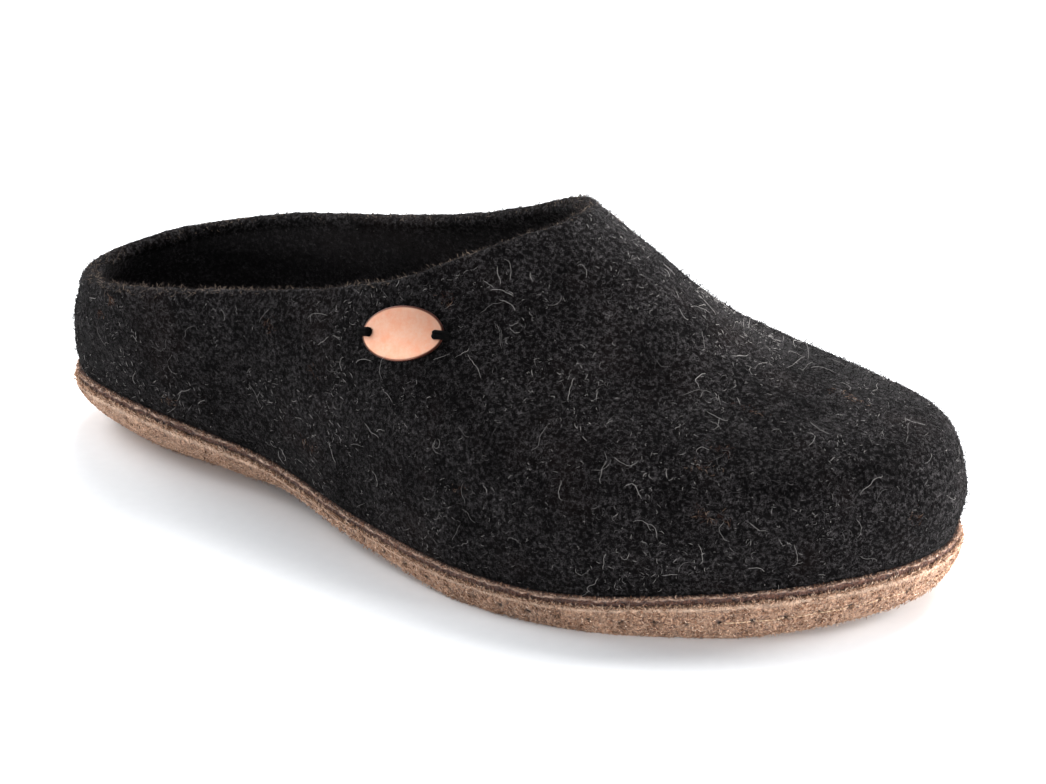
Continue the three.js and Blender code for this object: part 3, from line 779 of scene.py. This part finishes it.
def felt_fibres(name, surface, low, high, count, seed, kind, material=None, clumps=0):
    """Fibres over one face of the felt. kind gives their length and width as ranges, how much they curl, how
    many points each has, the share that stands out of the felt, and the middle of their tones. They lie in
    paler and darker tufts, or all within a few clumps."""
    chance = np.random.default_rng(seed)
    a, b, out = scatter(surface, low, high, clumps or count, seed)
    if clumps:
        pick = chance.integers(0, clumps, count)
        a, out = a[pick] + chance.normal(0, CLUMP[0], count), out[pick]
        b = np.clip(b[pick] + chance.normal(0, CLUMP[1], count), low[1], high[1])
    roots = surface(a, b)
    clear = near_badge(roots) > CLEAR_OF_BADGE
    a, b, out, roots = a[clear], b[clear], out[clear], roots[clear]
    count = len(roots)
    standing = chance.uniform(size=count) < kind["standing"]
    lean = np.where(standing, chance.uniform(*STANDING, count), chance.uniform(*LYING, count))
    length = chance.uniform(*kind["length"], count) * np.where(standing, 0.75, 1)
    width = chance.uniform(*kind["width"], count)
    curl = chance.normal(0, kind["curl"], count)
    heading = chance.uniform(0, FULL_TURN, count)
    roots = roots + scaled(out, felt_relief(roots, ease(0, 0.05, b) if high[1] <= 1 else 1.0))
    fall = np.where(standing, 0.3, 1.6)
    points, faces, each = hairs(roots, out, heading, length, width, curl, lean, kind["points"], seed, fall)
    tufts = layered(roots, ((0.14, 2, 9), (0.2, 12, 10)))
    tone = np.clip(chance.beta(1.3, 1.3 / kind["tone"] - 1.3, count) + tufts, 0, 1)
    piece(name, points, faces, material or wool, tone=np.repeat(tone, each))


DOWN = {"length": (0.7, 1.6), "width": (0.1, 0.16), "curl": 2, "points": 3, "standing": 0.6, "tone": 0.38}
FUZZ = {"length": (1.8, 4.6), "width": (0.09, 0.13), "curl": 1.6, "points": 4, "standing": 1, "tone": 0.36}
CURLS = {"length": (1.1, 2.6), "width": (0.1, 0.15), "curl": 3, "points": 4, "standing": 0.1, "tone": 0.42}
GUARD = {"length": (4, 9), "width": (0.08, 0.12), "curl": 1.4, "points": 10, "standing": 0.08, "tone": 0.7}
SPECKS = {"length": (0.4, 0.8), "width": (0.2, 0.3), "curl": 0.5, "points": 3, "standing": 0.5, "tone": 0.93}
TUFTS = {"length": (1, 2.4), "width": (0.1, 0.15), "curl": 2.6, "points": 4, "standing": 0.1, "tone": 0.45}
RIM_DOWN = {"length": (1, 2.6), "width": (0.1, 0.15), "curl": 1.6, "points": 4, "standing": 0.6, "tone": 0.42}
felt_fibres("felt_down", wall, (0, 0.01), (FULL_TURN, 1), 16000, 11, DOWN)
felt_fibres("felt_fuzz", wall, (0, 0.03), (FULL_TURN, 1), 8000, 19, FUZZ)
felt_fibres("felt_curls_1", wall, (0, 0.01), (FULL_TURN, 1), 12500, 12, CURLS)
felt_fibres("felt_curls_2", wall, (0, 0.01), (FULL_TURN, 1), 12500, 13, CURLS)
felt_fibres("felt_guard_hairs", wall, (0, 0.02), (FULL_TURN, 0.97), 420, 14, GUARD)
felt_fibres("felt_specks", wall, (0, 0.02), (FULL_TURN, 0.97), 260, 17, SPECKS)
felt_fibres("felt_brown_tufts", wall, (0, 0.05), (FULL_TURN, 0.95), 560, 18, TUFTS, russet_wool, 22)
# The rim's fibres are browner and paler than the wall's: a brown tint, and painted light where the rim
# catches the light.
felt_fibres("rim_down", rim, (0, 0.1), (FULL_TURN, 2.4), 3000, 15, RIM_DOWN, brown_wool)


def lining_outwards(a, b):
    return lining(-a, b)


felt_fibres("lining_down", lining_outwards, (0, 0.35), (FULL_TURN, 1), 2600, 16, DOWN)

# The rand

columns = 1024
angle = turn(columns)
inside = LEDGE + FELT
# Down round the band, out under the lip, over it and back in. Rough is how far the cut edge frays there.
RAND = {
    "inset": [inside, inside, 4, 1.6, BAND_STEP + 0.1, BAND_STEP, BAND_STEP, BAND_STEP]
    + [0.3, 0.05, 0, 0.1, 0.5, 1.6, 4, inside],
    "lift": [-1.1, -2.2, -2.2, -2.2, -2.15, -1.9, -1.3, -0.75, -0.62, -0.5, -0.3, -0.08, 0, 0, 0, 0],
    "rough": [0, 0, 0, 0, 0.3, 0.6, 0.6, 0.5, 0.8, 1, 1, 1, 0.8, 0.2, 0, 0],
    "pale": [0, 0, 0, 0, 0, 0, 0, 0, 0, 0.2, 0.7, 0.75, 0.3, 0, 0, 0],
}
rand_grid = np.stack([on_edge(angle, inset, lift) for inset, lift in zip(RAND["inset"], RAND["lift"])])
rough = np.array(RAND["rough"])[:, None]
fray = layered(rand_grid, ((0.42, 1.1, 21), (0.24, 3, 22)))
rand_grid = rand_grid + scaled(outwards(angle)[None] + np.zeros_like(rand_grid), rough * fray)
rand_grid[..., 2] += 0.55 * rough * bumps(rand_grid, 1, 23)
pale = np.clip(np.array(RAND["pale"])[:, None] * (0.6 + 0.9 * bumps(rand_grid, 1, 24)), 0, 1)
points, faces, uv, tone = skin(rand_grid, True, pale)
piece("rand_strip", points, faces, rand_leather, uv=uv, tone=tone, replaces=("rand",))


def lip_edge(a, b):
    """Over the lip's nose: b goes from under it to its top."""
    return on_edge(a, 0.1 + 0.5 * b, -0.45 + 0.5 * b)


a, b, _ = scatter(lip_edge, (0, 0.3), (FULL_TURN, 1), 5500, 31)
chance = np.random.default_rng(31)
out = unit(outwards(a) + point(0, 0, chance.uniform(0.5, 2.5, len(a))))
short_fibres(
    "lip_fuzz", lip_edge(a, b), out, chance, 32, lip_nap,
    length=(0.45, 1.35), width=(0.14, 0.24), curl=1.4, lean=(0.6, 1.4), steps=3, tones=(1.4, 1.1), fall=0.8,
)

# The suede sole


def sole_top(x):
    return top_height(x) - RAND_THICKNESS - GAP


def sole_side(angle, up):
    """The sole's side, from the tread (up 0) to its top edge (1): the edge drawn in by a share of
    the taper."""
    place = drawn_in(angle, smooth(SOLE_EDGE, "inset", up) * taper(share(angle)))
    low, high = under_height(place[..., 0]), sole_top(place[..., 0])
    place[..., 2] = low + (high - low) * up
    return place


# Stitches lie at equal steps along the side of the forefoot, from one waist round the toe to the other.
fine = np.linspace(-np.pi, np.pi, 4001)
walked = np.concatenate([[0], np.cumsum(np.linalg.norm(np.diff(outline(fine), axis=0), axis=1))])
toe_tip = np.interp(0, fine, walked)
stitch_angles = np.interp(toe_tip + (np.arange(-STITCHES, STITCHES) + 0.5) * STITCH, walked, fine)
stitch_points = sole_side(stitch_angles, STITCH_HEIGHT)

columns = 1024
angle = turn(columns)
side_rows = np.linspace(0, 1, 22)[:, None]
side = sole_side(angle[None], side_rows)
out = grid_normals(side, False)
walk = np.interp((angle + np.pi) % FULL_TURN - np.pi, fine, walked)[None] + 0 * side_rows
streaks = point(walk, side[..., 2] / 4, 0)
nap = 0.16 * bumps(streaks, 1.3, 41) + 0.2 * bumps(side, 1.6, 42) + 0.2 * bumps(side, 6, 43)
away = np.sqrt(((side[:, :, None] - stitch_points) ** 2).sum(-1))
pits = np.exp(-((away / PIT) ** 2)).sum(-1)
stitched = ease(stitch_points[:, 0].min() - 4, stitch_points[:, 0].min() + 4, side[..., 0])
groove = GROOVE * stitched * np.exp(-(((side_rows - STITCH_HEIGHT) / 0.09) ** 2))
at_welt = np.exp(-(((side_rows - WELT_AT) / 0.06) ** 2))
fade = ease(0, 0.08, side_rows) * (1 - 0.8 * ease(0.95, 1, side_rows))
side = side + scaled(out, (nap + WELT * at_welt) * fade - PIT_DEPTH * pits - groove)
ragged = 0.45 * bumps(side, 1.7, 44) * np.exp(-((side_rows / 0.12) ** 2))
side[..., 2] = np.maximum(side[..., 2] + ragged, under_height(side[..., 0]))
tread = spread(side[0], [0, 0.3, 0.6, 0.85], lambda x, part, angle: under_height(x))
bed = spread(side[-1], [0.96, 0.5, 0], lambda x, part, angle: sole_top(x))
sole_grid = np.concatenate([np.stack(tread), side, np.stack(bed)])
# Paler where rubbed, at the welt and the tread's edge; at the stitch pits tone goes below 0 as painted shade
# in the holes.
rubbed_and_hole_shade = 0.8 * at_welt + 0.35 * np.exp(-((side_rows / 0.1) ** 2))
rubbed_and_hole_shade = np.clip(rubbed_and_hole_shade * (0.8 + 0.4 * bumps(side, 3, 45)) - 1.8 * pits, -1, 1)
tone = np.concatenate([np.full((len(tread), columns), 0.1), rubbed_and_hole_shade, np.zeros((len(bed), columns))])
points, faces, uv, tone = skin(sole_grid, False, tone)
piece("suede_sole", points, faces, suede, uv=uv, tone=tone, replaces=("outsole",))

a, b, out = scatter(sole_side, (0, 0.03), (FULL_TURN, 0.99), 11500, 51)
roots = sole_side(a, b)
clear = ((roots[:, None] - stitch_points) ** 2).sum(-1).min(1) > (1.1 * PIT) ** 2
clear &= (b < 0.87) | (roots[:, 0] > WAIST)
out, roots = out[clear], roots[clear]
chance = np.random.default_rng(51)
short_fibres(
    "suede_nap", roots, out, chance, 52, suede_nap,
    length=(0.7, 1.5), width=(0.18, 0.32), curl=2.6, lean=(0.3, 0.8), steps=4, tones=(1.1, 1.1),
    shorter=0.6 + 0.4 * ease(0.6 * WAIST, WAIST, roots[:, 0]), tuft=0.12 * bumps(roots, 3, 53),
)

count = 2600
a = chance.uniform(0, FULL_TURN, count)
roots = sole_side(a, 0.01 + 0.08 * chance.uniform(size=count))
short_fibres(
    "tread_fray", roots, unit(outwards(a) + point(0, 0, -0.25)), chance, 54, suede_nap,
    length=(0.6, 1.5), width=(0.14, 0.24), curl=1.8, lean=(0.3, 1.1), steps=3, tones=(1.6, 1.6),
)

# The nap of the sole's top edge stands up over the rand's band.
count = 6400
a = chance.uniform(0, FULL_TURN, count)
roots = sole_side(a, chance.uniform(0.93, 1, count))
out = unit(0.35 * outwards(a) + point(0, 0, chance.uniform(0.5, 1.6, count)))
short_fibres(
    "welt_fuzz", roots, out, chance, 55, suede_nap,
    length=(0.8, 2.2), width=(0.18, 0.3), curl=1.8, lean=(0.8, 1.5), steps=3, tones=(1.6, 1.2), fall=0.7,
)

# The thread shows between stitches on the toe's two flanks. Elsewhere the nap covers it.
ahead = stitch_points[:, 0] > THREAD_SHOWS * LENGTH
seen = np.flatnonzero(ahead[:-1] & ahead[1:])
go = np.linspace(0, 1, 12)
between = stitch_angles[seen, None] * (1 - go) + stitch_angles[seen + 1, None] * go
dip = -0.75 * (1 - ease(0, 0.16, go) * (1 - ease(0.84, 1, go)))
paths = sole_side(between, STITCH_HEIGHT) + scaled(outwards(between), dip - 0.05)
points, faces = tubes(paths, THREAD / 2, 6)
piece("sole_thread", points, faces, pale_thread)

# The footbed

columns = 384
angle = turn(columns)
inset = LEDGE + FELT + GAP
pad = FOOTBED_THICKNESS - RAND_THICKNESS


def footbed_height(x, part, angle):
    """The footbed's top: its edge stands up round the heel, and more on the inner side at the arch."""
    at = np.clip(x / LENGTH, 0, 1)
    arch = np.maximum(np.sin(angle), 0) * smooth(FOOTBED, "arch", at) * ARCH_PAD
    return top_height(x) + pad + (smooth(FOOTBED, "cup", at) * HEEL_CUP + arch) * part**2


low = on_edge(angle, inset, -RAND_THICKNESS)
high = drawn_in(angle, inset + GAP)
high[:, 2] = footbed_height(high[:, 0], 1, angle) - FOOTBED_ROUND
shoulder = drawn_in(angle, inset + FOOTBED_ROUND)
bend = drawn_in(angle, inset + GAP + 0.3 * (FOOTBED_ROUND - GAP))
bend[:, 2] = footbed_height(bend[:, 0], 1, angle) - 0.3 * FOOTBED_ROUND
base = spread(low, [0, 0.35, 0.7], lambda x, part, angle: top_height(x) - RAND_THICKNESS)
top = spread(shoulder, [1, 0.96, 0.9, 0.82, 0.73, 0.64, 0.54, 0.44, 0.34, 0.24, 0.12, 0], footbed_height)
footbed_grid = np.concatenate([np.stack(base), low[None], high[None], bend[None], np.stack(top)])
lumps = layered(footbed_grid, ((0.2, 7, 61), (0.1, 2.2, 62)))
lumps[: len(base) + 2] = 0
footbed_grid[..., 2] += lumps
points, faces, uv, _ = skin(footbed_grid, False)
footbed = piece("footbed", points, faces, footbed_felt, uv=uv, replaces=("insole",))

top_grid = footbed_grid[len(base) + 3 :]
chance = np.random.default_rng(71)
count = 800
roots = top_grid[chance.integers(0, len(top_grid) - 1, count), chance.integers(0, columns, count)]
short_fibres(
    "footbed_fuzz", roots, np.tile([0, 0, 1.0], (count, 1)), chance, 72, brown_wool,
    length=(1.5, 3.5), width=(0.1, 0.14), curl=1.3, lean=(0.1, 0.6), steps=4, tones=(2, 3),
)

# The badge

# The plate's section from its middle underneath, round its edge, to its middle on top: the share of the way
# out, how far the edge is drawn in, the lift in shares of the thickness, and how dark brown it is.
PLATE = {
    "part": [0, 0.5, 0.85, 1, 1, 1, 1, 1, 1, 1, 1, 1, 1, 1, 1, 1, 1, 0.48, 0.25, 0],
    "draw": [0, 0, 0, 0.3, 0.12, 0.02, 0, 0, 0.04, 0.18, 0.42, 0.7, 1.1, 1.6, 2.2, 2.9, 3.6, 0, 0, 0],
    "lift": [0, 0, 0, 0, 0.1, 0.25, 0.4, 0.65, 0.82, 0.95, 1, 1, 1, 1, 1, 1, 1, 1, 1, 1],
    "dark": [1, 1, 1, 1, 1, 1, 1, 1, 1, 1, 0.9, 0.12, 0.03, 0, 0, 0, 0, 0, 0, 0],
}
around = turn(128)
part, draw, lift, dark = (np.array(PLATE[key])[:, None] for key in ("part", "draw", "lift", "dark"))
along = (BADGE_LENGTH / 2 - draw) * part * np.cos(around)
across = (BADGE_WIDTH / 2 - draw) * part * np.sin(around)
plate_grid = on_badge(along, across, GAP + lift * BADGE_THICKNESS)
# Painted shade: on top of its dark edge, the plate is darkened towards its top.
edge_dark_and_top_shade = np.maximum(dark, TOP_PAINTED_SHADE * ease(-1, 1, across / (BADGE_WIDTH / 2)))
points, faces, uv, tone = skin(plate_grid, False, edge_dark_and_top_shade)
badge = piece("copper_badge", points, faces, copper, uv=uv, tone=tone, replaces=("badge",))


# The two sewing holes are cut through the plate's ends.
PUNCH_SIDES = 48
hole = BADGE_LENGTH / 2 - BADGE_MARGIN


def punch(end):
    """The two rings of a round pin where a sewing hole goes, along the line out of the felt."""
    foot, tip = (on_badge(np.array(end * hole), np.array(0.0), np.array(lift)) for lift in (-1.0, 3.0))
    out = unit(tip - foot)
    side = unit(np.cross(out, badge_level))
    around = turn(PUNCH_SIDES)
    ring = scaled(np.cross(side, out)[None], np.cos(around)) + scaled(side[None], np.sin(around))
    return [*(foot + BADGE_HOLE / 2 * ring), *(tip + BADGE_HOLE / 2 * ring)]


cutter = bpy.data.meshes.new("punch")
corners, polygons = [], []
for end in (-1, 1):
    near = len(corners) + np.arange(PUNCH_SIDES)
    far = near + PUNCH_SIDES
    corners += punch(end)
    polygons += np.stack([near, np.roll(near, -1), np.roll(far, -1), far], -1).tolist()
    polygons += [near[::-1].tolist(), far.tolist()]
cutter.from_pydata(((np.array(corners) + PLACE) * MM).tolist(), [], polygons)
cutter_object = bpy.data.objects.new("punch", cutter)
bpy.context.scene.collection.objects.link(cutter_object)
cut = badge.modifiers.new("holes", "BOOLEAN")
cut.object, cut.operation, cut.solver = cutter_object, "DIFFERENCE", "EXACT"
bpy.context.view_layer.update()
punched = bpy.data.meshes.new_from_object(badge.evaluated_get(bpy.context.evaluated_depsgraph_get()))
badge.modifiers.clear()
badge.data = punched
bpy.data.objects.remove(cutter_object)

# Two turns of black thread go through each hole, over the plate's end and down into the felt.
go = np.linspace(0, 1, 22)
crest = GAP + BADGE_THICKNESS + BADGE_THREAD * 0.35
lifts = {"at": [0, 0.12, 0.3, 0.62, 0.82, 1], "lift": [-0.4, crest - 0.15, crest, crest, 0.9, -0.6]}
outs = {
    "at": lifts["at"],
    "out": [hole - 0.15, hole, hole + 0.7, hole + 2.3, hole + 3.2, hole + 3.7],
}
paths = [
    on_badge(end * smooth(outs, "out", go), np.full(len(go), side * 0.5), smooth(lifts, "lift", go))
    for end in (-1, 1)
    for side in (-1, 1)
]
points, faces = tubes(np.stack(paths), BADGE_THREAD / 2, 10)
piece("badge_thread", points, faces, black_thread)

# Camera, floor and light

camera_data = bpy.data.cameras.new("camera")
camera_data.sensor_width = 36
camera_data.lens = 205.6
camera_data.clip_end = 20
camera = bpy.data.objects.new("camera", camera_data)
bpy.context.scene.collection.objects.link(camera)
seat = Vector((0.8574, -1.1932, 0.6735))
aim = Vector((0.00865, 0.00355, 0.03508))
back = (seat - aim).normalized()
right = Vector((0, 0, 1)).cross(back).normalized()
upright = back.cross(right)
roll = Matrix.Rotation(np.radians(-0.88), 3, "Z")
turned = Matrix((right, upright, back)).transposed() @ roll
camera.matrix_world = Matrix.Translation(seat) @ turned.to_4x4()
bpy.context.scene.camera = camera

floor_material, tree, shader = new_material("white_studio_paper", {"Roughness": 0.8})
grain = add(tree, "TexNoise", {"Vector": add(tree, "TexCoord").outputs["Object"], "Scale": 300})
paper = add(tree, "ValToRGB", {"Fac": grain.outputs["Fac"]}, stops=[(0, "#f1f2f3"), (1, "#f6f7f8")])
tree.links.new(paper.outputs[0], shader.inputs["Base Color"])
floor_mesh = bpy.data.meshes.new("floor")
floor_mesh.from_pydata([(-6, -6, 0), (6, -6, 0), (6, 6, 0), (-6, 6, 0)], [], [(0, 1, 2, 3)])
floor_mesh.materials.append(floor_material)
floor = bpy.data.objects.new("floor", floor_mesh)
bpy.context.scene.collection.objects.link(floor)


def soft_box(name, place, size, power, colour="#ffffff"):
    """A square area light that faces the shoe."""
    data = bpy.data.lights.new(name, "AREA")
    data.size, data.energy, data.color = size, power, linear(colour)[:3]
    made = bpy.data.objects.new(name, data)
    facing = Vector(place).to_track_quat("Z", "Y").to_matrix().to_4x4()
    made.matrix_world = Matrix.Translation(place) @ facing
    bpy.context.scene.collection.objects.link(made)


soft_box("behind_and_above", (-0.2, 1.05, 1.3), 1.4, 53)
soft_box("from_the_toe", (1, 1.25, 0.35), 0.65, 55)
soft_box("behind_the_heel", (-1.3, 0.1, 0.7), 1, 24)
# These two stand close to the floor, so that they light the shoe's sides and hardly its shadow.
soft_box("low_at_the_toe", (1.45, 0.2, 0.13), 0.24, 22)
soft_box("low_by_the_heel", (-0.9, -1.3, 0.13), 0.24, 9)

world = bpy.data.worlds.new("studio")
bpy.context.scene.world = world
world.use_nodes = True
world.node_tree.nodes["Background"].inputs["Color"].default_value = linear("#f1f5fb")
world.node_tree.nodes["Background"].inputs["Strength"].default_value = 0.56

# The photo has clear whites and deep blacks, which the plain transform keeps.
bpy.context.scene.view_settings.view_transform = "Standard"
